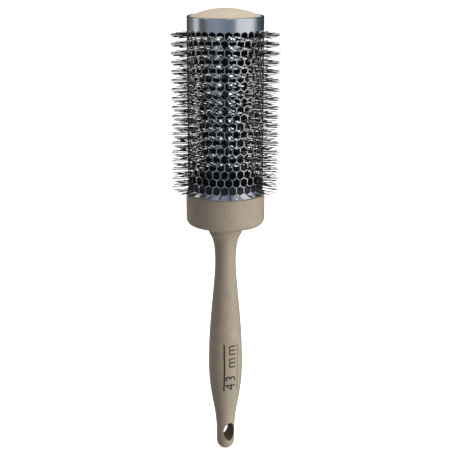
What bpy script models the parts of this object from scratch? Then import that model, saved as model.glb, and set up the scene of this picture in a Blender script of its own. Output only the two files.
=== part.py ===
"""Round barrel hair brush with a 43 mm vented barrel, standing upright on the end of its handle.

Units are metres. +Z runs up the brush's axis from the handle to the barrel's cap, and the
origin is the lowest point of the handle. The hanging hole is bored along Y, so -Y is the front
of the grip. Every height below is measured from that origin.
"""

import math

import bmesh
import bpy
from mathutils import Matrix, Vector

MM = 0.001

# Driving sizes
BARREL_DIAMETER = 43.0 * MM
BRISTLE_DIAMETER = 59.7 * MM
HANDLE_RIM_HEIGHT = 162.4 * MM
BARREL_TOP_HEIGHT = 262.9 * MM
CAP_CROWN_HEIGHT = 266.75 * MM
ROW_COUNT = 18
TOP_ROW_HEIGHT = 252.4 * MM
BOTTOM_ROW_HEIGHT = 165.5 * MM

# Fits
GAP = 0.3 * MM
MERGE_DISTANCE = 0.01 * MM

# Barrel tube
BARREL_RADIUS = BARREL_DIAMETER / 2
BARREL_WALL = 0.4 * MM
LIP_ROUNDING = 0.55 * MM
BARREL_SEAT_DEPTH = 5.7 * MM
BARREL_FOOT_HEIGHT = HANDLE_RIM_HEIGHT - BARREL_SEAT_DEPTH
TUBE_BORE_RADIUS = BARREL_RADIUS - BARREL_WALL

# Cap
CAP_EDGE_RADIUS = BARREL_RADIUS - 2 * LIP_ROUNDING - GAP
CAP_DOME_RISE = 4.4 * MM
CAP_DOME_STEPS = 5
CAP_SKIRT = 1.6 * MM
CAP_CROWN_FLAT = 4.0 * MM
CAP_FOOT_HEIGHT = BARREL_TOP_HEIGHT - CAP_SKIRT
CAP_SPIGOT_RADIUS = 3.5 * MM
CAP_SPIGOT_LENGTH = 3.5 * MM

# Twisted core wire
WIRE_DIAMETER = 1.8 * MM
WIRE_TWIST_RADIUS = 1.15 * MM
WIRE_TWIST_LEAD = 10.0 * MM
WIRE_POINTS_PER_TURN = 7
WIRE_BORE_RADIUS = 2.45 * MM
WIRE_FOOT_HEIGHT = 128.0 * MM
WIRE_END_CLEARANCE = 1.0 * MM

# Plugs that close the barrel's ends
PLUG_RADIUS = TUBE_BORE_RADIUS - GAP
PLUG_WALL = 1.6 * MM
TOP_PLUG_DEPTH = 5.0 * MM
TOP_PLUG_HEIGHT = CAP_FOOT_HEIGHT - GAP
BASE_PLUG_TOP = 170.2 * MM

# Bristles
FILL_RADIUS = TUBE_BORE_RADIUS - GAP
ROW_THICKNESS = 1.6 * MM
ROW_CLEARANCE = 0.35 * MM
ROW_INNER_RADIUS = BARREL_RADIUS + ROW_CLEARANCE
BRISTLE_RADIUS = BRISTLE_DIAMETER / 2

# Handle: cup, neck, grip and rounded end
CUP_RADIUS = 22.65 * MM
CUP_RIM_ROUNDING = 0.3 * MM
CUP_SEAT_RADIUS = BARREL_RADIUS + GAP
CUP_BORE_RADIUS = PLUG_RADIUS + GAP
CUP_FLOOR_HEIGHT = 150.0 * MM
CUP_CORNER_HEIGHT = 147.8 * MM
CUP_CORNER_ROUNDING = 3.9 * MM
CUP_CORNER_SWEEP = 57.0
CUP_CORNER_STEPS = 4
CUP_UNDERSIDE_POINTS = ((15.5 * MM, 142.8 * MM), (10.6 * MM, 141.1 * MM))
END_LENGTH = 6.5 * MM
END_RADIUS = 5.35 * MM
END_STEPS = 5

# Grip outline from the neck down: (radius, height) where the curve changes
GRIP_STATIONS = (
    (9.8 * MM, 138.9 * MM),
    (7.7 * MM, 134.7 * MM),
    (6.45 * MM, 128.4 * MM),
    (6.15 * MM, 121.0 * MM),
    (7.3 * MM, 102.5 * MM),
    (9.1 * MM, 82.0 * MM),
    (10.1 * MM, 58.5 * MM),
    (9.3 * MM, 42.0 * MM),
    (6.35 * MM, 24.3 * MM),
    (5.4 * MM, 13.0 * MM),
)

# Hanging hole
HANG_HOLE_WIDTH = 6.8 * MM
HANG_HOLE_HEIGHT = 11.1 * MM
HANG_HOLE_CENTRE = 12.4 * MM

# Facets of the turned solids
HANDLE_SIDES = 32
BARREL_SIDES = 36
PLUG_SIDES = 32
ROW_SIDES = 28


def clear_scene():
    """Removes whatever the opened scene holds."""
    for item in list(bpy.data.objects):
        bpy.data.objects.remove(item, do_unlink=True)


def new_collection(name):
    """A collection linked to the scene."""
    made = bpy.data.collections.new(name)
    bpy.context.scene.collection.children.link(made)
    return made


def make_finish(name, colour, roughness, metallic=0.0):
    """A Principled material of one colour."""
    finish = bpy.data.materials.new(name)
    finish.use_nodes = True
    shader = finish.node_tree.nodes["Principled BSDF"]
    shader.inputs["Base Color"].default_value = (*colour, 1.0)
    shader.inputs["Roughness"].default_value = roughness
    shader.inputs["Metallic"].default_value = metallic
    return finish


def arc(centre, radius, start, end, steps):
    """Points on an arc in the (radius, height) plane; angles in degrees from the outward direction."""
    points = []
    for i in range(steps + 1):
        angle = math.radians(start + (end - start) * i / steps)
        points.append((centre[0] + radius * math.cos(angle), centre[1] + radius * math.sin(angle)))
    return points


def smooth_line(stations, steps):
    """A Catmull-Rom curve through stations, with the same number of steps between each pair."""
    points = [Vector(s) for s in stations]
    padded = [2 * points[0] - points[1], *points, 2 * points[-1] - points[-2]]
    line = []
    for i in range(1, len(padded) - 2):
        before, start, end, after = padded[i - 1:i + 3]
        for k in range(steps):
            t = k / steps
            point = 0.5 * (
                2 * start
                + (end - before) * t
                + (2 * before - 5 * start + 4 * end - after) * t ** 2
                + (3 * start - before - 3 * end + after) * t ** 3
            )
            line.append(tuple(point))
    line.append(tuple(points[-1]))
    return line


def turned(name, outline, sides, finish, collection, ring=False):
    """A solid of revolution from an outline of (radius, height) points, listed down its outer side."""
    mesh = bpy.data.meshes.new(name)
    vertices = [(radius, 0.0, height) for radius, height in outline]
    edges = [(i, i + 1) for i in range(len(outline) - 1)]
    if ring:
        edges.append((len(outline) - 1, 0))
    mesh.from_pydata(vertices, edges, [])
    solid = bpy.data.objects.new(name, mesh)
    collection.objects.link(solid)
    spin = solid.modifiers.new("turn", "SCREW")
    spin.axis = "Z"
    spin.angle = 2 * math.pi
    spin.steps = sides
    spin.render_steps = sides
    spin.use_merge_vertices = True
    spin.merge_threshold = MERGE_DISTANCE
    spin.use_smooth_shade = True
    mesh.materials.append(finish)
    return solid


def make_handle(finish, parts, cutters):
    """Cup, neck, grip and rounded end in one moulding, with its wire socket and hanging hole."""
    rim_centre = (CUP_RADIUS - CUP_RIM_ROUNDING, HANDLE_RIM_HEIGHT - CUP_RIM_ROUNDING)
    corner_centre = (CUP_RADIUS - CUP_CORNER_ROUNDING, CUP_CORNER_HEIGHT)
    outline = [
        (0.0, WIRE_FOOT_HEIGHT - WIRE_END_CLEARANCE),
        (WIRE_BORE_RADIUS, WIRE_FOOT_HEIGHT - WIRE_END_CLEARANCE),
        (WIRE_BORE_RADIUS, CUP_FLOOR_HEIGHT),
        (CUP_BORE_RADIUS, CUP_FLOOR_HEIGHT),
        (CUP_BORE_RADIUS, BARREL_FOOT_HEIGHT - GAP),
        (CUP_SEAT_RADIUS, BARREL_FOOT_HEIGHT - GAP),
        (CUP_SEAT_RADIUS, HANDLE_RIM_HEIGHT),
    ]
    outline += arc(rim_centre, CUP_RIM_ROUNDING, 90, 0, 2)
    outline += arc(corner_centre, CUP_CORNER_ROUNDING, 0, -CUP_CORNER_SWEEP, CUP_CORNER_STEPS)
    outline += CUP_UNDERSIDE_POINTS
    outline += smooth_line(GRIP_STATIONS, 2)
    for i in range(END_STEPS + 1):
        angle = math.radians(90 * i / END_STEPS)
        outline.append((END_RADIUS * math.cos(angle), END_LENGTH * (1 - math.sin(angle))))
    outline[-1] = (0.0, 0.0)
    handle = turned("handle", outline, HANDLE_SIDES, finish, parts)

    cutter_mesh = bpy.data.meshes.new("hang_hole_cutter")
    shape = bmesh.new()
    bmesh.ops.create_cone(shape, cap_ends=True, segments=24, radius1=0.5, radius2=0.5, depth=1.0)
    stretch = Matrix.Diagonal((HANG_HOLE_WIDTH, HANG_HOLE_HEIGHT, 4 * END_RADIUS, 1.0))
    bmesh.ops.transform(shape, matrix=Matrix.Rotation(math.radians(90), 4, "X") @ stretch, verts=shape.verts)
    shape.to_mesh(cutter_mesh)
    shape.free()
    cutter = bpy.data.objects.new("hang_hole_cutter", cutter_mesh)
    cutter.location = (0.0, 0.0, HANG_HOLE_CENTRE)
    cutter.hide_render = True
    cutter.display_type = "WIRE"
    cutters.objects.link(cutter)
    hole = handle.modifiers.new("hang_hole", "BOOLEAN")
    hole.operation = "DIFFERENCE"
    hole.solver = "EXACT"
    hole.object = cutter
    return handle


def make_barrel(finish, parts):
    """Thin tube whose top edge is rolled over into a rounded lip."""
    lip_height = BARREL_TOP_HEIGHT - LIP_ROUNDING
    lip_centre = (BARREL_RADIUS - LIP_ROUNDING, lip_height)
    outline = arc(lip_centre, LIP_ROUNDING, 180, 0, 6)
    outline += [
        (BARREL_RADIUS, BARREL_FOOT_HEIGHT),
        (TUBE_BORE_RADIUS, BARREL_FOOT_HEIGHT),
    ]
    outline += arc(lip_centre, LIP_ROUNDING - BARREL_WALL, 0, 180, 2)
    return turned("barrel", outline, BARREL_SIDES, finish, parts, ring=True)


def make_end_cap(finish, parts):
    """Shallow spherical dome with a flat crown, on a spigot that seats in the top plug."""
    sphere_radius = (CAP_EDGE_RADIUS ** 2 + CAP_DOME_RISE ** 2) / (2 * CAP_DOME_RISE)
    sphere_centre = CAP_CROWN_HEIGHT - math.sqrt(sphere_radius ** 2 - CAP_CROWN_FLAT ** 2)
    outline = [(0.0, CAP_CROWN_HEIGHT)]
    for i in range(CAP_DOME_STEPS + 1):
        radius = CAP_CROWN_FLAT + (CAP_EDGE_RADIUS - CAP_CROWN_FLAT) * i / CAP_DOME_STEPS
        outline.append((radius, sphere_centre + math.sqrt(sphere_radius ** 2 - radius ** 2)))
    outline += [
        (CAP_EDGE_RADIUS, CAP_FOOT_HEIGHT),
        (CAP_SPIGOT_RADIUS, CAP_FOOT_HEIGHT),
        (CAP_SPIGOT_RADIUS, CAP_FOOT_HEIGHT - CAP_SPIGOT_LENGTH),
        (0.0, CAP_FOOT_HEIGHT - CAP_SPIGOT_LENGTH),
    ]
    return turned("end_cap", outline, BARREL_SIDES, finish, parts)


def make_top_plug(finish, parts):
    """Disc that closes the barrel under its lip and takes the cap's spigot and the wire's end."""
    foot = TOP_PLUG_HEIGHT - TOP_PLUG_DEPTH
    step = CAP_FOOT_HEIGHT - CAP_SPIGOT_LENGTH - GAP
    outline = [
        (CAP_SPIGOT_RADIUS + GAP, TOP_PLUG_HEIGHT),
        (PLUG_RADIUS, TOP_PLUG_HEIGHT),
        (PLUG_RADIUS, foot),
        (WIRE_BORE_RADIUS, foot),
        (WIRE_BORE_RADIUS, step),
        (CAP_SPIGOT_RADIUS + GAP, step),
    ]
    return turned("top_plug", outline, PLUG_SIDES, finish, parts, ring=True)


def make_base_plug(finish, parts):
    """Open-bottomed plug that fills the barrel's foot and stands on the cup's floor."""
    foot = CUP_FLOOR_HEIGHT + GAP
    outline = [
        (WIRE_BORE_RADIUS, BASE_PLUG_TOP),
        (PLUG_RADIUS, BASE_PLUG_TOP),
        (PLUG_RADIUS, foot),
        (PLUG_RADIUS - PLUG_WALL, foot),
        (PLUG_RADIUS - PLUG_WALL, BASE_PLUG_TOP - PLUG_WALL),
        (WIRE_BORE_RADIUS + PLUG_WALL, BASE_PLUG_TOP - PLUG_WALL),
        (WIRE_BORE_RADIUS + PLUG_WALL, foot),
        (WIRE_BORE_RADIUS, foot),
    ]
    return turned("base_plug", outline, PLUG_SIDES, finish, parts, ring=True)


def make_core_wires(finish, parts):
    """Two steel wires twisted round each other along the brush's axis, gripping the bristles."""
    head = CAP_FOOT_HEIGHT - CAP_SPIGOT_LENGTH - WIRE_END_CLEARANCE
    length = head - WIRE_FOOT_HEIGHT
    count = round(length / WIRE_TWIST_LEAD * WIRE_POINTS_PER_TURN)
    for letter, start in (("a", 0.0), ("b", math.pi)):
        curve = bpy.data.curves.new(f"core_wire_{letter}", "CURVE")
        curve.dimensions = "3D"
        curve.bevel_depth = WIRE_DIAMETER / 2
        curve.bevel_resolution = 1
        curve.use_fill_caps = True
        spline = curve.splines.new("POLY")
        spline.points.add(count)
        for i, point in enumerate(spline.points):
            rise = length * i / count
            angle = start + 2 * math.pi * rise / WIRE_TWIST_LEAD
            x = WIRE_TWIST_RADIUS * math.cos(angle)
            y = WIRE_TWIST_RADIUS * math.sin(angle)
            point.co = (x, y, WIRE_FOOT_HEIGHT + rise, 1.0)
        wire = bpy.data.objects.new(f"core_wire_{letter}", curve)
        curve.materials.append(finish)
        parts.objects.link(wire)


def make_bristles(finish, parts):
    """The bristles as plain solids: their length inside the barrel, and each row outside it."""
    fill_top = TOP_PLUG_HEIGHT - TOP_PLUG_DEPTH - GAP
    fill_foot = BASE_PLUG_TOP + GAP
    fill = [
        (WIRE_BORE_RADIUS, fill_top),
        (FILL_RADIUS, fill_top),
        (FILL_RADIUS, fill_foot),
        (WIRE_BORE_RADIUS, fill_foot),
    ]
    turned("bristle_fill", fill, PLUG_SIDES, finish, parts, ring=True)
    spacing = (TOP_ROW_HEIGHT - BOTTOM_ROW_HEIGHT) / (ROW_COUNT - 1)
    for row in range(ROW_COUNT):
        middle = TOP_ROW_HEIGHT - row * spacing
        upper = middle + ROW_THICKNESS / 2
        lower = middle - ROW_THICKNESS / 2
        outline = [
            (ROW_INNER_RADIUS, upper),
            (BRISTLE_RADIUS, upper),
            (BRISTLE_RADIUS, lower),
            (ROW_INNER_RADIUS, lower),
        ]
        turned(f"bristle_row_{row + 1:02d}", outline, ROW_SIDES, finish, parts, ring=True)


def main():
    """Builds the whole brush."""
    clear_scene()
    parts = new_collection("round_barrel_brush")
    cutters = new_collection("cutters")
    composite = make_finish("fibre_composite", (0.46, 0.38, 0.29), 0.55)
    cap_finish = make_finish("cap_plastic", (0.62, 0.53, 0.42), 0.5)
    aluminium = make_finish("barrel_aluminium", (0.42, 0.45, 0.49), 0.3, 1.0)
    black_plastic = make_finish("black_plastic", (0.02, 0.02, 0.022), 0.45)
    steel = make_finish("core_steel", (0.45, 0.45, 0.46), 0.35, 1.0)
    nylon = make_finish("bristle_nylon", (0.012, 0.012, 0.013), 0.3)
    make_handle(composite, parts, cutters)
    make_barrel(aluminium, parts)
    make_end_cap(cap_finish, parts)
    make_top_plug(black_plastic, parts)
    make_base_plug(black_plastic, parts)
    make_core_wires(steel, parts)
    make_bristles(nylon, parts)


main()
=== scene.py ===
"""Looks of a round barrel hair brush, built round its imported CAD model.

The brush stands on the end of its handle at the origin, +Z up its axis, with the printed
front of the grip facing -Y. Each sub-assembly is a class whose fields are its sizes in metres
and whose methods build its meshes and dress them. Places come from the CAD nodes' boxes.
"""

from __future__ import annotations

import logging
import math
import random
from dataclasses import dataclass, field
from enum import Enum
from typing import Any, Sequence

import bmesh
import bpy
from mathutils import Matrix, Vector

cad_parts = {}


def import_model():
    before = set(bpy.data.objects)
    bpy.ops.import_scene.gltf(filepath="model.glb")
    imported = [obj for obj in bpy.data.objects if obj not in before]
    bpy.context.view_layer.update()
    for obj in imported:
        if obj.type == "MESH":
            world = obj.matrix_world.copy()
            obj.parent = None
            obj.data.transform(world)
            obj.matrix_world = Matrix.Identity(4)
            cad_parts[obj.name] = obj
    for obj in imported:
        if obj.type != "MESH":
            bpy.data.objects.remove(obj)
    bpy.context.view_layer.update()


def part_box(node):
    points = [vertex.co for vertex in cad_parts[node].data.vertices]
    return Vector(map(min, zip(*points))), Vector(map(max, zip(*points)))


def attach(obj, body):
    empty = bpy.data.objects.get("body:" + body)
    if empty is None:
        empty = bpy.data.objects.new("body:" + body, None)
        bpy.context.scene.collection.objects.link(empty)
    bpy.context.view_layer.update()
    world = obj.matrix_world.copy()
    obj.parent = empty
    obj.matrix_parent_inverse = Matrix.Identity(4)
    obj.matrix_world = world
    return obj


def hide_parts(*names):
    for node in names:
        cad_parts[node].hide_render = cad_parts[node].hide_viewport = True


MM = 0.001
BODY = "root"
TINY = 1e-9
MERGES_PER_METRE = 1e7
LOG = logging.getLogger("round_brush")

Point = tuple[float, float]
Place = tuple[float, float, float]


# ---------------------------------------------------------------- shared mesh work


def arc(centre: Point, radius: float, start: float, end: float, steps: int) -> list[Point]:
    """Points on an arc in the (radius, height) plane.

    Args:
        centre: the arc's centre.
        radius: the arc's radius.
        start: first angle in degrees, 0 pointing outwards and 90 up.
        end: last angle in degrees.
        steps: how many equal steps the arc is cut into.

    Returns:
        steps + 1 points from start to end.
    """
    points = []
    for i in range(steps + 1):
        angle = math.radians(start + (end - start) * i / steps)
        points.append((centre[0] + radius * math.cos(angle), centre[1] + radius * math.sin(angle)))
    return points


def smooth_line(stations: Sequence[Point], steps: int) -> list[Point]:
    """A Catmull-Rom curve through stations.

    Args:
        stations: the points that the curve passes through.
        steps: how many steps lie between each pair of stations.

    Returns:
        The curve's points, the first and last stations included.
    """
    points = [Vector(s) for s in stations]
    padded = [2 * points[0] - points[1], *points, 2 * points[-1] - points[-2]]
    line = []
    for i in range(1, len(padded) - 2):
        before, start, end, after = padded[i - 1:i + 3]
        for k in range(steps):
            t = k / steps
            point = 0.5 * (
                2 * start
                + (end - before) * t
                + (2 * before - 5 * start + 4 * end - after) * t ** 2
                + (3 * start - before - 3 * end + after) * t ** 3
            )
            line.append((point.x, point.y))
    line.append((points[-1].x, points[-1].y))
    return line


@dataclass
class MeshDraft:
    """Points and faces gathered before they become one Blender mesh."""

    places: list[Place] = field(default_factory=list)
    faces: list[tuple[int, ...]] = field(default_factory=list)
    known: dict[tuple[int, int, int], int] = field(default_factory=dict)

    def point(self, place: Place) -> int:
        """The number of the point at this place, which is added if it is new.

        Args:
            place: the point, in metres.

        Returns:
            Its number, the same for places within a tenth of a micrometre.
        """
        key = tuple(round(value * MERGES_PER_METRE) for value in place)
        if key not in self.known:
            self.known[key] = len(self.places)
            self.places.append(place)
        return self.known[key]

    def face(self, *places: Place) -> None:
        """Adds one face, leaving out points that fall together.

        Args:
            places: its corners, counter-clockwise seen from outside.
        """
        corners: list[int] = []
        for place in places:
            number = self.point(place)
            if number not in corners:
                corners.append(number)
        if len(corners) > 2:
            self.faces.append(tuple(corners))

    def turn(self, outline: Sequence[Point], sides: int, ring: bool = False) -> None:
        """Turns an outline about the axis, its outer side running downwards.

        Args:
            outline: (radius, height) points.
            sides: how many facets go round.
            ring: True if the last point joins the first.
        """
        pairs = list(zip(outline, outline[1:]))
        if ring:
            pairs.append((outline[-1], outline[0]))
        angles = [2 * math.pi * i / sides for i in range(sides)]
        for i, angle in enumerate(angles):
            after = angles[(i + 1) % sides]
            for upper, lower in pairs:
                self.face(
                    spot(upper[0], angle, upper[1]),
                    spot(lower[0], angle, lower[1]),
                    spot(lower[0], after, lower[1]),
                    spot(upper[0], after, upper[1]),
                )

    def piece(self, name: str, material: bpy.types.Material, sharp: float = 35.0) -> bpy.types.Object:
        """Makes the draft into a smooth-shaded object.

        Args:
            name: the piece's name.
            material: its finish.
            sharp: edges bent by more than this many degrees stay crisp.

        Returns:
            The new object, linked to the scene.
        """
        mesh = bpy.data.meshes.new(name)
        mesh.from_pydata(self.places, [], self.faces)
        mesh.materials.append(material)
        mesh.shade_smooth()
        mesh.set_sharp_from_angle(angle=math.radians(sharp))
        made = bpy.data.objects.new(name, mesh)
        bpy.context.scene.collection.objects.link(made)
        return made


def spot(radius: float, angle: float, height: float) -> Place:
    """A place on the brush: angle is measured from the front, -Y, towards +X, in radians."""
    return (radius * math.sin(angle), -radius * math.cos(angle), height)


def stand_for(piece: bpy.types.Object, slot: str, *nodes: str) -> bpy.types.Object:
    """Fixes a piece to the brush in place of its CAD nodes.

    Args:
        piece: the finished piece.
        slot: a material slot in the record; not used.
        nodes: the CAD nodes that it stands for, or none.

    Returns:
        The same piece.
    """
    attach(piece, BODY)
    if nodes:
        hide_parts(*nodes)
    LOG.info("%s: %d faces", piece.name, len(piece.data.polygons))
    return piece


# ---------------------------------------------------------------- finishes


def linear(colour: str) -> tuple[float, float, float, float]:
    """Turns an sRGB hex colour into linear values.

    Args:
        colour: the colour, written like "#a09080".

    Returns:
        Linear red, green and blue, and a full alpha.
    """
    channels = [int(colour[i:i + 2], 16) / 255 for i in (1, 3, 5)]
    curve = [c / 12.92 if c <= 0.04045 else ((c + 0.055) / 1.055) ** 2.4 for c in channels]
    return (curve[0], curve[1], curve[2], 1.0)


def add_node(
    tree: bpy.types.NodeTree,
    kind: str,
    inputs: dict[str | int, Any] | None = None,
    **settings: Any,
) -> bpy.types.Node:
    """Adds one node with its settings, its values and its links.

    Args:
        tree: the node tree.
        kind: the node's Blender type.
        inputs: socket name or number to a value, or to the output socket that feeds it.
        settings: the node's own properties.

    Returns:
        The new node.
    """
    node = tree.nodes.new(kind)
    for name, value in settings.items():
        setattr(node, name, value)
    for key, value in (inputs or {}).items():
        if isinstance(value, bpy.types.NodeSocket):
            tree.links.new(value, node.inputs[key])
        else:
            node.inputs[key].default_value = value
    return node


@dataclass
class Surface:
    """One material while its nodes are being laid: a Principled surface with its patterns."""

    name: str

    def __post_init__(self) -> None:
        """Makes the material with an empty tree and the object's own coordinates."""
        self.material = bpy.data.materials.new(self.name)
        self.material.use_nodes = True
        self.tree = self.material.node_tree
        self.tree.nodes.clear()
        self.where = add_node(self.tree, "ShaderNodeTexCoord").outputs["Object"]

    def stretched(self, across: float, along: float) -> bpy.types.NodeSocket:
        """Coordinates counted in pattern sizes that differ across and along the brush.

        Args:
            across: the pattern's size level with the ground, in metres.
            along: its size up the axis.

        Returns:
            The coordinates.
        """
        inputs = {"Vector": self.where, "Scale": (1 / across, 1 / across, 1 / along)}
        return add_node(self.tree, "ShaderNodeMapping", inputs).outputs["Vector"]

    def noise(
        self, where: bpy.types.NodeSocket, scale: float, detail: float = 2.0, distortion: float = 0.0
    ) -> bpy.types.NodeSocket:
        """A soft random pattern.

        Args:
            where: the coordinates that it is laid on.
            scale: how many of its patches fit in one unit of them.
            detail: how many finer layers are added.
            distortion: how far the patches are smeared.

        Returns:
            Its value, which lies between 0 and 1.
        """
        inputs = {"Vector": where, "Scale": scale, "Detail": detail, "Distortion": distortion}
        return add_node(self.tree, "ShaderNodeTexNoise", inputs).outputs["Fac"]

    def mapped(
        self, value: bpy.types.NodeSocket, source: Point, target: Point = (0.0, 1.0)
    ) -> bpy.types.NodeSocket:
        """A value stretched from one range to another, and held inside it.

        Args:
            value: the value.
            source: the range that it comes in.
            target: the range that it leaves in.

        Returns:
            The new value.
        """
        inputs = {
            "Value": value,
            "From Min": source[0],
            "From Max": source[1],
            "To Min": target[0],
            "To Max": target[1],
        }
        return add_node(self.tree, "ShaderNodeMapRange", inputs).outputs[0]

    def around(self, pattern: bpy.types.NodeSocket, middle: float, change: float) -> bpy.types.NodeSocket:
        """A pattern as a value that varies by change to either side of middle."""
        return self.mapped(pattern, (0.0, 1.0), (middle - change, middle + change))

    def blended(self, share: bpy.types.NodeSocket, first: Any, second: Any) -> bpy.types.NodeSocket:
        """Two colours mixed by a share that varies over the surface."""
        return add_node(
            self.tree, "ShaderNodeMix", {0: share, 6: first, 7: second}, data_type="RGBA"
        ).outputs[2]

    def relief(self, height: bpy.types.NodeSocket, depth: float, strength: float) -> bpy.types.NodeSocket:
        """Fine relief that follows a pattern.

        Args:
            height: the pattern.
            depth: how deep it goes, in metres.
            strength: how much of it shows.

        Returns:
            The bent normal.
        """
        inputs = {"Strength": strength, "Distance": depth, "Height": height}
        return add_node(self.tree, "ShaderNodeBump", inputs).outputs["Normal"]

    def finished(self, **sockets: Any) -> bpy.types.Material:
        """Closes the material with its shader.

        Args:
            sockets: the shader's sockets, with _ for a space, to a value or to what feeds them.

        Returns:
            The material.
        """
        inputs = {name.replace("_", " "): value for name, value in sockets.items()}
        shader = add_node(self.tree, "ShaderNodeBsdfPrincipled", inputs)
        add_node(self.tree, "ShaderNodeOutputMaterial", {"Surface": shader.outputs["BSDF"]})
        return self.material


def set_stops(ramp: bpy.types.ColorRamp, stops: Sequence[tuple[float, tuple[float, ...]]]) -> None:
    """Sets a colour ramp's stops.

    Args:
        ramp: the ramp.
        stops: position and linear colour of each stop, in order.
    """
    while len(ramp.elements) > 1:
        ramp.elements.remove(ramp.elements[-1])
    ramp.elements[0].position = stops[0][0]
    ramp.elements[0].color = stops[0][1]
    for position, colour in stops[1:]:
        ramp.elements.new(position).color = colour


class CompositeBatch(Enum):
    """Shades of the plant-fibre composite: base, fleck, pale fibre. GRIP and CAP are its moulded colours;
    the third, darker batch is painted shade for the wall inside the hanging hole.
    """

    GRIP = ("#b7a893", "#7d7060", "#c6b8a3")
    CAP = ("#bbae9b", "#a59885", "#c6baa7")
    # Darker copy of the moulded shades: painted shade for the wall inside the hanging hole.
    BORED = ("#6a5a49", "#463b30", "#7b6b59")


@dataclass(frozen=True)
class FibreComposite:
    """Injection-moulded polypropylene filled with ground plant fibre.

    The fibre shows as short dark and pale flecks drawn out along the flow of the melt, under a
    satin skin that is very slightly uneven.
    """

    batch: CompositeBatch
    roughness: float = 0.52
    roughness_change: float = 0.06
    ior: float = 1.49
    fleck_width: float = 0.45 * MM
    fleck_length: float = 1.1 * MM
    fleck_detail: float = 1.0
    fleck_levels: Point = (0.62, 0.76)
    fleck_depth: float = 0.75
    fibre_scale: float = 0.7
    fibre_smear: float = 0.6
    fibre_levels: Point = (0.56, 0.74)
    fibre_depth: float = 0.4
    grain_size: float = 0.28 * MM
    grain_shades: Point = (0.93, 1.07)
    mottle_size: float = 6.0 * MM
    mottle_detail: float = 3.0
    mottle_shades: Point = (0.95, 1.05)
    middle_levels: Point = (0.3, 0.7)
    skin_depth: float = 0.015 * MM
    skin_strength: float = 0.35

    def material(self) -> bpy.types.Material:
        """The composite as a material.

        Returns:
            The new material.
        """
        base, fleck, pale = (linear(c) for c in self.batch.value)
        skin = Surface(f"fibre_composite_{self.batch.name.lower()}_moulded")
        # Flecks are stretched up the handle, the way the melt ran.
        drawn = skin.stretched(self.fleck_width, self.fleck_length)
        flecks = skin.noise(drawn, 1.0, self.fleck_detail)
        fibres = skin.noise(drawn, self.fibre_scale, distortion=self.fibre_smear)
        grain = skin.noise(skin.where, 1 / self.grain_size)
        mottle = skin.noise(skin.where, 1 / self.mottle_size, self.mottle_detail)
        with_pale = skin.blended(skin.mapped(fibres, self.fibre_levels, (0.0, self.fibre_depth)), base, pale)
        fleck_share = skin.mapped(flecks, self.fleck_levels, (0.0, self.fleck_depth))
        with_flecks = skin.blended(fleck_share, with_pale, fleck)
        shade = add_node(
            skin.tree,
            "ShaderNodeMath",
            {
                0: skin.mapped(mottle, self.middle_levels, self.mottle_shades),
                1: skin.mapped(grain, self.middle_levels, self.grain_shades),
            },
            operation="MULTIPLY",
        )
        shaded = {0: with_flecks, "Scale": shade.outputs[0]}
        colour = add_node(skin.tree, "ShaderNodeVectorMath", shaded, operation="SCALE")
        return skin.finished(
            Base_Color=colour.outputs["Vector"],
            Roughness=skin.around(grain, self.roughness, self.roughness_change),
            IOR=self.ior,
            Normal=skin.relief(grain, self.skin_depth, self.skin_strength),
        )


@dataclass(frozen=True)
class AnodisedAluminium:
    """Thin aluminium tube, drawn, punched and anodised.

    Satin: it mirrors the studio in upright bands with soft edges, and very fine draw lines run
    along the tube.
    """

    colour: str = "#dfe3e8"
    roughness: float = 0.2
    roughness_change: float = 0.04
    line_spacing: float = 0.35 * MM
    line_stretch: float = 33.3
    line_depth: float = 0.002 * MM
    line_strength: float = 0.15

    def material(self) -> bpy.types.Material:
        """The metal as a material.

        Returns:
            The new material.
        """
        metal = Surface("aluminium_drawn_anodised")
        lines = metal.noise(metal.stretched(self.line_spacing, self.line_spacing * self.line_stretch), 1.0)
        return metal.finished(
            Base_Color=linear(self.colour),
            Metallic=1.0,
            Roughness=metal.around(lines, self.roughness, self.roughness_change),
            Normal=metal.relief(lines, self.line_depth, self.line_strength),
        )


@dataclass(frozen=True)
class MouldedBlackPlastic:
    """Black ABS, moulded against a lightly spark-eroded tool, so dark and softly matt."""

    colour: str = "#202022"
    roughness: float = 0.45
    roughness_change: float = 0.07
    ior: float = 1.53
    texture_size: float = 0.25 * MM
    texture_detail: float = 3.0
    texture_depth: float = 0.02 * MM
    texture_strength: float = 0.4

    def material(self) -> bpy.types.Material:
        """The plastic as a material.

        Returns:
            The new material.
        """
        plastic = Surface("abs_black_moulded")
        erosion = plastic.noise(plastic.where, 1 / self.texture_size, self.texture_detail)
        return plastic.finished(
            Base_Color=linear(self.colour),
            Roughness=plastic.around(erosion, self.roughness, self.roughness_change),
            IOR=self.ior,
            Normal=plastic.relief(erosion, self.texture_depth, self.texture_strength),
        )


@dataclass(frozen=True)
class DrawnSteelWire:
    """Galvanised steel wire, drawn through a die, grey with faint lengthwise scratches."""

    colour: str = "#64666a"
    roughness: float = 0.4
    roughness_change: float = 0.1
    scratch_spacing: float = 0.15 * MM
    scratch_detail: float = 4.0

    def material(self) -> bpy.types.Material:
        """The wire's surface as a material.

        Returns:
            The new material.
        """
        wire = Surface("steel_wire_drawn")
        scratches = wire.noise(wire.where, 1 / self.scratch_spacing, self.scratch_detail)
        return wire.finished(
            Base_Color=linear(self.colour),
            Metallic=1.0,
            Roughness=wire.around(scratches, self.roughness, self.roughness_change),
        )


@dataclass(frozen=True)
class CrimpedNylon:
    """Black nylon filament, extruded, crimped and cut: glossy, so each wave catches a glint."""

    colour: str = "#1e1e20"
    roughness: float = 0.3
    roughness_change: float = 0.1
    ior: float = 1.53
    streak_size: float = 0.6 * MM
    streak_detail: float = 1.0

    def material(self) -> bpy.types.Material:
        """The filament as a material.

        Returns:
            The new material.
        """
        nylon = Surface("nylon_black_crimped")
        streaks = nylon.noise(nylon.where, 1 / self.streak_size, self.streak_detail)
        return nylon.finished(
            Base_Color=linear(self.colour),
            Roughness=nylon.around(streaks, self.roughness, self.roughness_change),
            IOR=self.ior,
        )


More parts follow.
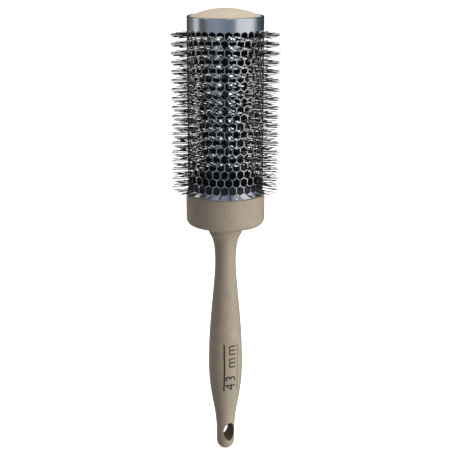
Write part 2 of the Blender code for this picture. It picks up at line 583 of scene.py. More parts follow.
@dataclass(frozen=True)
class PadPrintInk:
    """Dark brown pad-printing ink: a thin matt film, a little uneven where the pad lifted."""

    colour: str = "#31261d"
    worn_colour: str = "#4a3b2e"
    roughness: float = 0.6
    film_grain: float = 0.4 * MM
    worn_levels: Point = (0.5, 0.8)

    def material(self) -> bpy.types.Material:
        """The ink film as a material.

        Returns:
            The new material.
        """
        ink = Surface("ink_brown_printed")
        worn = ink.mapped(ink.noise(ink.where, 1 / self.film_grain), self.worn_levels)
        return ink.finished(
            Base_Color=ink.blended(worn, linear(self.colour), linear(self.worn_colour)),
            Roughness=self.roughness,
        )


# ---------------------------------------------------------------- handle


@dataclass
class Handle:
    """Cup, neck, grip and rounded end in one moulding, with its hanging hole."""

    sides: int = 112
    sharp_angle: float = 38.0
    rim_rounding: float = 0.45 * MM
    rim_steps: int = 5
    seat_gap: float = 0.3 * MM
    corner_height: float = 147.65 * MM
    corner_rounding: float = 3.9 * MM
    corner_sweep: float = 57.0
    corner_steps: int = 8
    curve_steps: int = 5
    end_radius: float = 5.42 * MM
    end_length: float = 5.9 * MM
    end_steps: int = 12
    hole_width: float = 6.8 * MM
    hole_height: float = 11.1 * MM
    hole_centre: float = 12.4 * MM
    hole_rounding: float = 0.5 * MM
    hole_sides: int = 72
    flare_angles: tuple[float, ...] = (0, 12, 24, 36, 48, 60, 70)
    flare_reach: float = 2.0 * MM
    underside: tuple[Point, ...] = (
        (18.1 * MM, 143.45 * MM),
        (14.1 * MM, 142.05 * MM),
        (10.9 * MM, 141.1 * MM),
    )
    neck_fillet: Point = (9.95 * MM, 140.2 * MM)
    grip: tuple[Point, ...] = (
        (9.4 * MM, 138.2 * MM),
        (8.05 * MM, 135.6 * MM),
        (7.26 * MM, 133.2 * MM),
        (6.6 * MM, 129.6 * MM),
        (6.15 * MM, 122.5 * MM),
        (6.33 * MM, 114.7 * MM),
        (6.8 * MM, 108.3 * MM),
        (7.9 * MM, 96.0 * MM),
        (9.04 * MM, 83.2 * MM),
        (9.76 * MM, 71.0 * MM),
        (10.1 * MM, 58.5 * MM),
        (9.95 * MM, 50.5 * MM),
        (9.45 * MM, 43.8 * MM),
        (8.62 * MM, 37.5 * MM),
        (7.5 * MM, 31.0 * MM),
        (6.4 * MM, 24.6 * MM),
        (5.65 * MM, 17.9 * MM),
        (5.42 * MM, 13.0 * MM),
    )

    def __post_init__(self) -> None:
        """Reads the sizes that the CAD model settles."""
        low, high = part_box("handle")
        self.foot = low.z
        self.rim = high.z
        self.cup_radius = high.x
        self.seat_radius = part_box("barrel")[1].x + self.seat_gap
        self.seat_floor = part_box("barrel")[0].z - self.seat_gap

    def outline(self) -> list[Point]:
        """The outer side from the cup's rim to the rounded end.

        Returns:
            (radius, height) points, top to bottom, ending on the axis.
        """
        rim = (self.cup_radius - self.rim_rounding, self.rim - self.rim_rounding)
        corner = (self.cup_radius - self.corner_rounding, self.corner_height)
        line = [
            (0.0, self.seat_floor),
            (self.seat_radius, self.seat_floor),
            (self.seat_radius, self.rim),
        ]
        line += arc(rim, self.rim_rounding, 90, 0, self.rim_steps)
        line += smooth_line(
            [
                *arc(corner, self.corner_rounding, 0, -self.corner_sweep, self.corner_steps),
                *self.underside,
                self.neck_fillet,
                *self.grip,
                (self.end_radius, self.end_length),
            ],
            self.curve_steps,
        )
        for i in range(1, self.end_steps):
            angle = math.radians(90 * i / self.end_steps)
            line.append((self.end_radius * math.cos(angle), self.end_length * (1 - math.sin(angle))))
        line.append((0.0, self.foot))
        return line

    def grip_radius(self, height: float) -> float:
        """The handle's radius below its cup.

        Args:
            height: where it is asked for.

        Returns:
            The radius there.
        """
        points = [p for p in self.outline() if p[1] < self.corner_height]
        for (upper_radius, upper), (lower_radius, lower) in zip(points, points[1:]):
            if lower <= height <= upper:
                share = (height - lower) / (upper - lower or 1.0)
                return lower_radius + (upper_radius - lower_radius) * share
        return self.end_radius

    def flare(self) -> list[Point]:
        """The rounded edge where the hole meets the skin.

        Returns:
            Depth under the skin and spread beyond the hole, from the hole's wall to outside.
        """
        turns = [math.radians(angle) for angle in self.flare_angles]
        size = self.hole_rounding
        steps = [(size * (1 - math.sin(turn)), size * (1 - math.cos(turn))) for turn in turns]
        depth, spread = steps[-1]
        out = self.flare_reach
        steps.append((depth - out * math.cos(turns[-1]), spread + out * math.sin(turns[-1])))
        return steps

    def hole_cutter(self, hole_wall_shade: bpy.types.Material) -> bpy.types.Object:
        """The hanging hole's shape: an oval bar along Y that flares where it meets the skin.

        Args:
            hole_wall_shade: the material that the hole's wall takes, a darker copy of the composite as
                painted shade.

        Returns:
            A closed object, used once and then removed.
        """
        draft = MeshDraft()
        flare = self.flare()
        rings: list[list[Place]] = []
        for side, steps in ((-1, reversed(flare)), (1, flare)):
            for depth, spread in steps:
                ring = []
                for i in range(self.hole_sides):
                    angle = 2 * math.pi * i / self.hole_sides
                    x = math.cos(angle) * self.hole_width / 2
                    z = self.hole_centre + math.sin(angle) * self.hole_height / 2
                    skin = math.sqrt(max(self.grip_radius(z) ** 2 - x ** 2, 0.0))
                    across = math.cos(angle) / self.hole_width
                    upwards = math.sin(angle) / self.hole_height
                    outward = Vector((across, upwards)).normalized()
                    x += outward.x * spread
                    z += outward.y * spread
                    ring.append((x, side * (skin - depth), z))
                rings.append(ring)
        for near, far in zip(rings, rings[1:]):
            for i in range(self.hole_sides):
                k = (i + 1) % self.hole_sides
                draft.face(near[i], far[i], far[k], near[k])
        draft.face(*rings[0])
        draft.face(*reversed(rings[-1]))
        cutter = draft.piece("hang_hole_shape", hole_wall_shade)
        mesh = bmesh.new()
        mesh.from_mesh(cutter.data)
        bmesh.ops.recalc_face_normals(mesh, faces=mesh.faces)
        mesh.to_mesh(cutter.data)
        mesh.free()
        return cutter

    def build(self, material: bpy.types.Material, hole_wall_shade: bpy.types.Material) -> bpy.types.Object:
        """Makes the moulding and bores its hanging hole.

        Args:
            material: the composite's moulded skin.
            hole_wall_shade: the composite where the hole cuts into it, darkened as painted shade.

        Returns:
            The handle.
        """
        draft = MeshDraft()
        draft.turn(self.outline(), self.sides)
        handle = draft.piece("handle_moulding", material)
        cutter = self.hole_cutter(hole_wall_shade)
        hole = handle.modifiers.new("hang_hole", "BOOLEAN")
        hole.operation = "DIFFERENCE"
        hole.solver = "EXACT"
        hole.object = cutter
        hole.material_mode = "TRANSFER"
        bpy.context.view_layer.update()
        evaluated = handle.evaluated_get(bpy.context.evaluated_depsgraph_get())
        mesh = bpy.data.meshes.new_from_object(evaluated)
        handle.modifiers.clear()
        handle.data = mesh
        mesh.shade_smooth()
        mesh.set_sharp_from_angle(angle=math.radians(self.sharp_angle))
        bpy.data.objects.remove(cutter)
        return stand_for(handle, "handle_composite", "handle")


@dataclass
class SizeMark:
    """The printed barrel size on the front of the grip, read up the handle, between two rules."""

    handle: Handle
    text: str = "43 mm"
    height: float = 6.4 * MM
    middle: float = 56.6 * MM
    turned: float = -8.5
    letter_scale: float = 1.4
    letter_space: float = 1.22
    letter_steps: int = 4
    film: float = 0.02 * MM
    weld: float = 0.0005 * MM
    rule_length: float = 30.0 * MM
    rule_widths: Point = (0.35 * MM, 0.9 * MM)
    rule_offset: float = 4.2 * MM
    cut_spacing: float = 0.6 * MM

    def letters(self) -> bmesh.types.BMesh:
        """The mark lying flat: along X the way it reads, Y up its letters, Z out of the film.

        Returns:
            A mesh that the caller frees.
        """
        font = bpy.data.curves.new("size_mark", "FONT")
        font.body = self.text
        font.size = self.height * self.letter_scale
        font.align_x = "CENTER"
        font.align_y = "CENTER"
        font.extrude = self.film
        font.space_character = self.letter_space
        font.resolution_u = self.letter_steps
        text = bpy.data.objects.new("size_mark", font)
        bpy.context.scene.collection.objects.link(text)
        bpy.context.view_layer.update()
        evaluated = text.evaluated_get(bpy.context.evaluated_depsgraph_get())
        flat = bpy.data.meshes.new_from_object(evaluated)
        bpy.data.objects.remove(text)
        mesh = bmesh.new()
        mesh.from_mesh(flat)
        for side, width in zip((-1, 1), self.rule_widths):
            place = Matrix.Translation((0.0, side * self.rule_offset, 0.0))
            stretch = Matrix.Diagonal((self.rule_length, width, 2 * self.film, 1.0))
            bmesh.ops.create_cube(mesh, size=1.0, matrix=place @ stretch)
        return mesh

    def build(self, material: bpy.types.Material) -> bpy.types.Object:
        """Wraps the mark round the grip as a thin film of ink.

        Args:
            material: the ink.

        Returns:
            The mark.
        """
        mesh = self.letters()
        bmesh.ops.remove_doubles(mesh, verts=mesh.verts, dist=self.weld)
        # Cut into small patches, the flat mark can follow the grip's curve.
        along = (Vector((1, 0, 0)), self.rule_length / 2 + MM)
        across = (Vector((0, 1, 0)), self.rule_offset + MM)
        for axis, limit in (along, across):
            count = int(2 * limit / self.cut_spacing)
            for i in range(count + 1):
                cut = axis * (-limit + i * self.cut_spacing)
                whole = [*mesh.verts, *mesh.edges, *mesh.faces]
                bmesh.ops.bisect_plane(mesh, geom=whole, plane_co=cut, plane_no=axis, dist=TINY)
        for vertex in mesh.verts:
            height = self.middle + vertex.co.x
            radius = self.handle.grip_radius(height)
            # The text reads upwards, so its letters' tops point to the left of the grip.
            angle = math.radians(self.turned) - vertex.co.y / radius
            vertex.co = spot(radius + self.film + vertex.co.z, angle, height)
        bmesh.ops.recalc_face_normals(mesh, faces=mesh.faces)
        data = bpy.data.meshes.new("size_mark")
        mesh.to_mesh(data)
        mesh.free()
        data.materials.append(material)
        mark = bpy.data.objects.new("size_mark", data)
        bpy.context.scene.collection.objects.link(mark)
        return stand_for(mark, "handle_composite")


# ---------------------------------------------------------------- barrel


@dataclass
class VentPattern:
    """The honeycomb of vents: rows of upright hexagons, alternate rows set half a vent aside."""

    radius: float
    rows: int = 20
    columns: int = 30
    first_row: float = 253.25 * MM
    row_pitch: float = 4.49 * MM
    side_height: float = 3.15 * MM
    web: float = 0.45 * MM
    corner_rounding: float = 0.25 * MM
    corner_cut: float = 0.27

    def __post_init__(self) -> None:
        """Works out the cell that surrounds each vent."""
        self.column_angle = 2 * math.pi / self.columns
        self.half_width = self.radius * self.column_angle / 2
        self.slant = self.row_pitch - self.side_height
        self.cell = [
            (self.half_width, -self.side_height / 2),
            (self.half_width, self.side_height / 2),
            (0.0, self.side_height / 2 + self.slant),
            (-self.half_width, self.side_height / 2),
            (-self.half_width, -self.side_height / 2),
            (0.0, -self.side_height / 2 - self.slant),
        ]
        self.slope_length = math.hypot(self.half_width, self.slant)
        slope = (self.slant / self.slope_length, self.half_width / self.slope_length)
        top = slope[1] * (self.side_height / 2 + self.slant)
        # Each wall of a cell as its outward direction and its distance from the vent's centre.
        self.walls = [(1.0, 0.0, self.half_width), (-1.0, 0.0, self.half_width)]
        for x in (-1, 1):
            for y in (-1, 1):
                self.walls.append((x * slope[0], y * slope[1], top))

    def centre(self, row: int, column: int) -> Point:
        """A vent's centre as its angle in radians and its height."""
        shift = 0.5 if row % 2 else 0.0
        return ((column + shift) * self.column_angle, self.first_row - row * self.row_pitch)

    def corner_in(self, number: int, inset: float) -> Point:
        """A corner of the cell once all its walls have moved inwards.

        Args:
            number: which corner, counter-clockwise from the lower right.
            inset: how far the walls move.

        Returns:
            The corner, from the vent's centre.
        """
        x, y = self.cell[number]
        if x == 0.0:
            return (0.0, y - math.copysign(inset * self.slope_length / self.half_width, y))
        drop = inset * (self.slope_length - self.slant) / self.half_width
        return (x - math.copysign(inset, x), y - math.copysign(drop, y))

    def opening(self) -> list[Point]:
        """The vent's own outline, with rounded corners: three points at each corner.

        Returns:
            Offsets from the vent's centre, counter-clockwise seen from outside.
        """
        corners = [self.corner_in(i, self.web / 2) for i in range(6)]
        outline = []
        for i, corner in enumerate(corners):
            here = Vector(corner)
            before = (Vector(corners[i - 1]) - here).normalized() * self.corner_rounding
            after = (Vector(corners[(i + 1) % 6]) - here).normalized() * self.corner_rounding
            middle = here + (before + after) * self.corner_cut
            outline += [tuple(here + before), tuple(middle), tuple(here + after)]
        return outline

    def cell_edge(self) -> list[Point]:
        """The cell's outline in step with the opening: each corner and the quarter points by it.

        Returns:
            Offsets from the vent's centre, counter-clockwise seen from outside.
        """
        outline = []
        for i, corner in enumerate(self.cell):
            here = Vector(corner)
            before = here.lerp(Vector(self.cell[i - 1]), 0.25)
            after = here.lerp(Vector(self.cell[(i + 1) % 6]), 0.25)
            outline += [tuple(before), corner, tuple(after)]
        return outline

    def clear_of_web(self, angle: float, height: float, margin: float) -> Point:
        """Moves a point on the barrel into the vent that it is nearest to.

        Args:
            angle: where the point is, in radians from the front.
            height: its height.
            margin: how far it has to stay from the metal.

        Returns:
            The angle and height of the nearest place inside a vent.
        """
        best: tuple[float, float, float, float, float] | None = None
        nearest = round((self.first_row - height) / self.row_pitch)
        for row in range(nearest - 1, nearest + 2):
            if not 0 <= row < self.rows:
                continue
            shift = 0.5 if row % 2 else 0.0
            column = round(angle / self.column_angle - shift)
            middle, level = self.centre(row, column)
            x = (angle - middle) * self.radius
            y = height - level
            outside = max(nx * x + ny * y - reach for nx, ny, reach in self.walls)
            if best is None or outside < best[0]:
                best = (outside, x, y, middle, level)
        if best is None:
            return (angle, height)
        _, x, y, middle, level = best
        inset = self.web / 2 + margin
        for _ in range(3):
            for nx, ny, reach in self.walls:
                over = nx * x + ny * y - (reach - inset)
                if over > 0:
                    x -= nx * over
                    y -= ny * over
        return (middle + x / self.radius, level + y)


@dataclass
class Barrel:
    """The vented tube with its rolled lip."""

    wall: float = 0.4 * MM
    lip_rounding: float = 0.6 * MM
    lip_sweep: float = 112.0
    lip_steps: int = 10
    bend_steps: int = 6
    band_margin: float = 0.7 * MM
    band_steps: int = 4
    sharp_angle: float = 40.0

    def __post_init__(self) -> None:
        """Reads the tube's size from the CAD model and lays out its vents."""
        low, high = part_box("barrel")
        self.radius = high.x
        self.top = high.z
        self.foot = low.z
        self.vents = VentPattern(radius=self.radius)

    def vent_field(self, draft: MeshDraft, radius: float, outward: bool) -> None:
        """Adds the web between the vents on one side of the wall.

        Args:
            draft: the mesh that it is added to.
            radius: that side's radius.
            outward: True on the outer side.
        """
        vents = self.vents
        edge = vents.cell_edge()
        opening = vents.opening()
        count = len(edge)
        for row in range(vents.rows):
            for column in range(vents.columns):
                angle, height = vents.centre(row, column)
                rim = [spot(radius, angle + x / vents.radius, height + y) for x, y in opening]
                cell = [spot(radius, angle + x / vents.radius, height + y) for x, y in edge]
                for i in range(count):
                    k = (i + 1) % count
                    quad = (cell[i], cell[k], rim[k], rim[i])
                    draft.face(*(quad if outward else reversed(quad)))

    def vent_walls(self, draft: MeshDraft) -> None:
        """Adds the cut edge inside each vent."""
        vents = self.vents
        opening = vents.opening()
        inner = self.radius - self.wall
        for row in range(vents.rows):
            for column in range(vents.columns):
                angle, height = vents.centre(row, column)
                for i, (x, y) in enumerate(opening):
                    next_x, next_y = opening[(i + 1) % len(opening)]
                    near = angle + x / vents.radius
                    far = angle + next_x / vents.radius
                    draft.face(
                        spot(self.radius, near, height + y),
                        spot(self.radius, far, height + next_y),
                        spot(inner, far, height + next_y),
                        spot(inner, near, height + y),
                    )

    def columns_of(self, row: int) -> list[Point]:
        """The zigzag edge of an end row all the way round.

        Args:
            row: the first row or the last one.

        Returns:
            Angle, and offset from the row's own height.
        """
        edge = self.vents.cell_edge()
        upper = row == 0
        corner = self.vents.side_height / 2 - TINY
        part = sorted(p for p in edge if (p[1] > 0) == upper and abs(p[1]) >= corner)
        points = []
        for column in range(self.vents.columns):
            angle, _ = self.vents.centre(row, column)
            points += [(angle + x / self.vents.radius, y) for x, y in part[:-1]]
        return points

    def end_bands(self, draft: MeshDraft, radius: float, outward: bool) -> None:
        """Fills between the zigzag ends of the vents and the plain bands above and below.

        Args:
            draft: the mesh that they are added to.
            radius: the radius of this side of the wall.
            outward: True on the outer side.
        """
        vents = self.vents
        for row, sign in ((0, 1), (vents.rows - 1, -1)):
            zigzag = self.columns_of(row)
            _, level = vents.centre(row, 0)
            straight = level + sign * (vents.side_height / 2 + vents.slant + self.band_margin)
            end = self.top - self.lip_rounding if sign > 0 else self.foot
            count = self.band_steps
            steps = [straight + (end - straight) * i / count for i in range(count + 1)]
            for i, (angle, offset) in enumerate(zigzag):
                after, after_offset = zigzag[(i + 1) % len(zigzag)]
                lines = [(level + offset, level + after_offset), *((s, s) for s in steps)]
                for (near, near_after), (far, far_after) in zip(lines, lines[1:]):
                    quad = (
                        spot(radius, angle, near),
                        spot(radius, after, near_after),
                        spot(radius, after, far_after),
                        spot(radius, angle, far),
                    )
                    draft.face(*(quad if outward == (sign > 0) else reversed(quad)))

    def close_ends(self, draft: MeshDraft) -> None:
        """Adds the rolled lip at the top and the cut edge at the foot."""
        centre = (self.radius - self.lip_rounding, self.top - self.lip_rounding)
        lip = [
            *arc(centre, self.lip_rounding, 0, self.lip_sweep, self.lip_steps),
            *arc(centre, self.lip_rounding - self.wall, self.lip_sweep, 0, self.bend_steps),
        ]
        zigzag = self.columns_of(0)
        for i, (angle, _) in enumerate(zigzag):
            after = zigzag[(i + 1) % len(zigzag)][0]
            for (near_radius, near), (far_radius, far) in zip(lip, lip[1:]):
                draft.face(
                    spot(near_radius, angle, near),
                    spot(near_radius, after, near),
                    spot(far_radius, after, far),
                    spot(far_radius, angle, far),
                )
        zigzag = self.columns_of(self.vents.rows - 1)
        inner_radius = self.radius - self.wall
        for i, (angle, _) in enumerate(zigzag):
            after = zigzag[(i + 1) % len(zigzag)][0]
            draft.face(
                spot(self.radius, angle, self.foot),
                spot(inner_radius, angle, self.foot),
                spot(inner_radius, after, self.foot),
                spot(self.radius, after, self.foot),
            )

    def build(self, material: bpy.types.Material) -> bpy.types.Object:
        """Makes the tube.

        Args:
            material: the anodised metal.

        Returns:
            The barrel.
        """
        draft = MeshDraft()
        for radius, outward in ((self.radius, True), (self.radius - self.wall, False)):
            self.vent_field(draft, radius, outward)
            self.end_bands(draft, radius, outward)
        self.vent_walls(draft)
        self.close_ends(draft)
        barrel = draft.piece("vented_barrel", material, self.sharp_angle)
        return stand_for(barrel, "barrel_aluminium", "barrel")


@dataclass
class EndCap:
    """Shallow dome inside the barrel's lip, on its spigot."""

    sides: int = 112
    edge_rounding: float = 0.5 * MM
    spigot_radius: float = 3.5 * MM
    crown_flat: float = 4.0 * MM
    dome_rise: float = 4.4 * MM
    skirt: float = 1.6 * MM
    dome_steps: int = 24
    edge_sweep: float = 66.0
    edge_steps: int = 5

    def build(self, material: bpy.types.Material) -> bpy.types.Object:
        """Makes the cap.

        Args:
            material: the composite.

        Returns:
            The cap.
        """
        low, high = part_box("end_cap")
        edge = high.x
        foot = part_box("barrel")[1].z - self.skirt
        sphere = (edge ** 2 + self.dome_rise ** 2) / (2 * self.dome_rise)
        centre = high.z - math.sqrt(sphere ** 2 - self.crown_flat ** 2)
        outline = [(0.0, high.z)]
        rim = edge - self.edge_rounding
        for i in range(self.dome_steps + 1):
            radius = self.crown_flat + (rim - self.crown_flat) * i / self.dome_steps
            outline.append((radius, centre + math.sqrt(sphere ** 2 - radius ** 2)))
        turn = (rim, outline[-1][1] - self.edge_rounding)
        outline += arc(turn, self.edge_rounding, self.edge_sweep, 0, self.edge_steps)
        outline += [
            (edge, foot),
            (self.spigot_radius, foot),
            (self.spigot_radius, low.z),
            (0.0, low.z),
        ]
        draft = MeshDraft()
        draft.turn(outline, self.sides)
        return stand_for(draft.piece("domed_cap", material), "cap_plastic", "end_cap")


@dataclass
class BarrelPlugs:
    """The two black plugs that close the barrel's ends and hold the core wire."""

    sides: int = 72
    bore: float = 2.45 * MM
    wall: float = 1.6 * MM
    edge: float = 0.4 * MM
    edge_steps: int = 4
    spigot_recess: float = 3.8 * MM
    recess_height: float = 1.5 * MM

    def build(self, material: bpy.types.Material) -> list[bpy.types.Object]:
        """Makes both plugs, with softened edges.

        Args:
            material: the black plastic.

        Returns:
            The top plug and the base plug.
        """
        low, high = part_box("top_plug")
        radius = high.x
        step = low.z + self.recess_height
        top_outline = [
            (self.spigot_recess, high.z),
            *arc((radius - self.edge, high.z - self.edge), self.edge, 90, 0, self.edge_steps),
            *arc((radius - self.edge, low.z + self.edge), self.edge, 0, -90, self.edge_steps),
            (self.bore, low.z),
            (self.bore, step),
            (self.spigot_recess, step),
        ]
        low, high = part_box("base_plug")
        ceiling = high.z - self.wall
        base_outline = [
            (self.bore, high.z),
            *arc((radius - self.edge, high.z - self.edge), self.edge, 90, 0, self.edge_steps),
            (radius, low.z),
            (radius - self.wall, low.z),
            (radius - self.wall, ceiling),
            (self.bore + self.wall, ceiling),
            (self.bore + self.wall, low.z),
            (self.bore, low.z),
        ]
        made = []
        for name, node, outline in (
            ("cap_end_plug", "top_plug", top_outline),
            ("handle_end_plug", "base_plug", base_outline),
        ):
            draft = MeshDraft()
            draft.turn(outline, self.sides, ring=True)
            made.append(stand_for(draft.piece(name, material), "plug_plastic", node))
        return made


@dataclass
class CoreWires:
    """Two steel wires twisted round each other, which grip the bristles along the axis."""

    wire_radius: float = 1.05 * MM
    twist_radius: float = 1.07 * MM
    lead: float = 10.0 * MM
    end_margin: float = 0.6 * MM
    around: int = 12
    steps_per_turn: int = 20

    def build(self, material: bpy.types.Material) -> list[bpy.types.Object]:
        """Makes the two wires.

        Args:
            material: the drawn steel.

        Returns:
            The wires.
        """
        low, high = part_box("core_wire_a")
        foot = low.z + self.end_margin
        length = high.z - self.end_margin - foot
        count = int(length / self.lead * self.steps_per_turn)
        made = []
        for letter, start in (("a", 0.0), ("b", math.pi)):
            line = []
            for i in range(count + 1):
                angle = start + 2 * math.pi * length * i / count / self.lead
                line.append(
                    Vector((
                        self.twist_radius * math.cos(angle),
                        self.twist_radius * math.sin(angle),
                        foot + length * i / count,
                    ))
                )
            draft = MeshDraft()
            sweep_tube(draft, line, self.wire_radius, self.around)
            piece = draft.piece(f"twisted_wire_{letter}", material)
            made.append(stand_for(piece, "core_steel", f"core_wire_{letter}"))
        return made


def sweep_tube(draft: MeshDraft, line: Sequence[Vector], radius: float, around: int) -> None:
    """Adds a closed round tube along a line.

    Args:
        draft: the mesh that it is added to.
        line: the tube's centreline.
        radius: the tube's radius.
        around: how many facets go round.
    """
    first = len(draft.places)
    across = Vector((0, 0, 1)).cross(line[1] - line[0])
    if across.length < TINY:
        across = Vector((1, 0, 0))
    for i, point in enumerate(line):
        ahead = line[min(i + 1, len(line) - 1)] - line[max(i - 1, 0)]
        ahead.normalize()
        across = (across - ahead * across.dot(ahead)).normalized()
        upright = ahead.cross(across)
        for k in range(around):
            angle = 2 * math.pi * k / around
            place = point + (across * math.cos(angle) + upright * math.sin(angle)) * radius
            draft.places.append(tuple(place))
    for i in range(len(line) - 1):
        for k in range(around):
            after = (k + 1) % around
            near = first + i * around
            far = near + around
            draft.faces.append((near + k, near + after, far + after, far + k))
    end = first + (len(line) - 1) * around
    draft.faces.append(tuple(first + k for k in reversed(range(around))))
    draft.faces.append(tuple(end + k for k in range(around)))


# ---------------------------------------------------------------- bristles


@dataclass
class Filament:
    """One bristle's own bend: where it points and how it is crimped."""

    angle: float
    rise: float
    tip_rise: float
    length: float
    wave: float
    wavelength: float
    phase: float
    lean: float


@dataclass
class BristleRows:
    """Crimped filaments held by the twisted wire, which stand out through the vents in rows."""

    vents: VentPattern
    wall: float
    rows: int = 18
    tufts: int = 30
    per_tuft: int = 5
    loose: int = 2
    tuft_phase: float = 1.3
    radius: float = 0.165 * MM
    around: int = 5
    root: float = 2.0 * MM
    spread: Point = (0.45, 1.5)
    lift: Point = (0.06 * MM, 0.35 * MM)
    waves: Point = (0.06 * MM, 0.3 * MM)
    wave_share: Point = (0.3, 1.0)
    shortfall: Point = (0.4 * MM, 1.3 * MM)
    droop: float = 0.15 * MM
    wavelengths: Point = (5.0 * MM, 8.0 * MM)
    overhang: float = 1.15 * MM
    seed: int = 43
    bend_reach: float = 3.1 * MM
    margin: float = 0.22 * MM
    inner_stations: tuple[float, ...] = (9 * MM, 14 * MM, 17.5 * MM, 19.4 * MM, 20.6 * MM)
    past_wall: float = 22.1 * MM
    outer_steps: int = 13
    sharp_angle: float = 80.0

    def filaments(self) -> list[Filament]:
        """One row's filaments, tuft by tuft: mostly tight and straight, and a few loose ones.

        Returns:
            The filaments, the same in every row, as the winding repeats itself.
        """
        chance = random.Random(self.seed)
        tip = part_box("bristle_row_01")[1].x
        made = []
        for tuft in range(self.tufts):
            middle = math.radians(self.tuft_phase + tuft * 360 / self.tufts)
            for number in range(self.per_tuft):
                kind = 1 if number < self.loose else 0
                rise = chance.gauss(0, self.lift[kind])
                made.append(
                    Filament(
                        angle=middle + math.radians(chance.gauss(0, self.spread[kind])),
                        rise=rise,
                        tip_rise=rise + chance.gauss(-self.droop, self.lift[0]),
                        length=tip + self.overhang - abs(chance.gauss(0, self.shortfall[kind])),
                        wave=self.waves[kind] * chance.uniform(*self.wave_share),
                        wavelength=chance.uniform(*self.wavelengths),
                        phase=chance.uniform(0, 2 * math.pi),
                        lean=chance.uniform(0, math.pi),
                    )
                )
        return made

    def path(self, filament: Filament, level: float) -> list[Vector]:
        """A filament's centreline from the wire, through its vent, to its tip.

        Args:
            filament: the filament's own bend.
            level: the height of its row.

        Returns:
            The points of the centreline.
        """
        passage = self.vents.radius - self.wall / 2
        reach = filament.length - self.past_wall
        outer = [self.past_wall + reach * i / self.outer_steps for i in range(self.outer_steps + 1)]
        radii = [self.root, *self.inner_stations, passage, *outer]

        def crimped(radius: float) -> Point:
            """The crimp's shift.

            Args:
                radius: how far out along the filament.

            Returns:
                The shift sideways and upwards.
            """
            turn = 2 * math.pi * radius / filament.wavelength + filament.phase
            swing = filament.wave * math.sin(turn)
            along = (radius - self.root) / (filament.length - self.root)
            lift = filament.rise + (filament.tip_rise - filament.rise) * along ** 2
            return (swing * math.cos(filament.lean), lift + swing * math.sin(filament.lean))

        side, up = crimped(passage)
        there = (filament.angle + side / passage, level + up)
        clear = self.vents.clear_of_web(*there, self.margin)
        shift = ((clear[0] - there[0]) * passage, clear[1] - there[1])
        line = []
        for radius in radii:
            side, up = crimped(radius)
            pull = math.exp(-(((radius - passage) / self.bend_reach) ** 2))
            angle = filament.angle + (side + shift[0] * pull) / radius
            line.append(Vector(spot(radius, angle, level + up + shift[1] * pull)))
        return line

    def build(self, material: bpy.types.Material) -> list[bpy.types.Object]:
        """Makes every row.

        Args:
            material: the nylon.

        Returns:
            One piece for each row.
        """
        filaments = self.filaments()
        made = []
        for row in range(1, self.rows + 1):
            node = f"bristle_row_{row:02d}"
            low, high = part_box(node)
            draft = MeshDraft()
            for filament in filaments:
                sweep_tube(draft, self.path(filament, (low.z + high.z) / 2), self.radius, self.around)
            nodes = [node, "bristle_fill"] if row == 1 else [node]
            piece = draft.piece(f"bristles_row_{row:02d}", material, self.sharp_angle)
            made.append(stand_for(piece, "bristle_nylon", *nodes))
        return made


# ---------------------------------------------------------------- studio


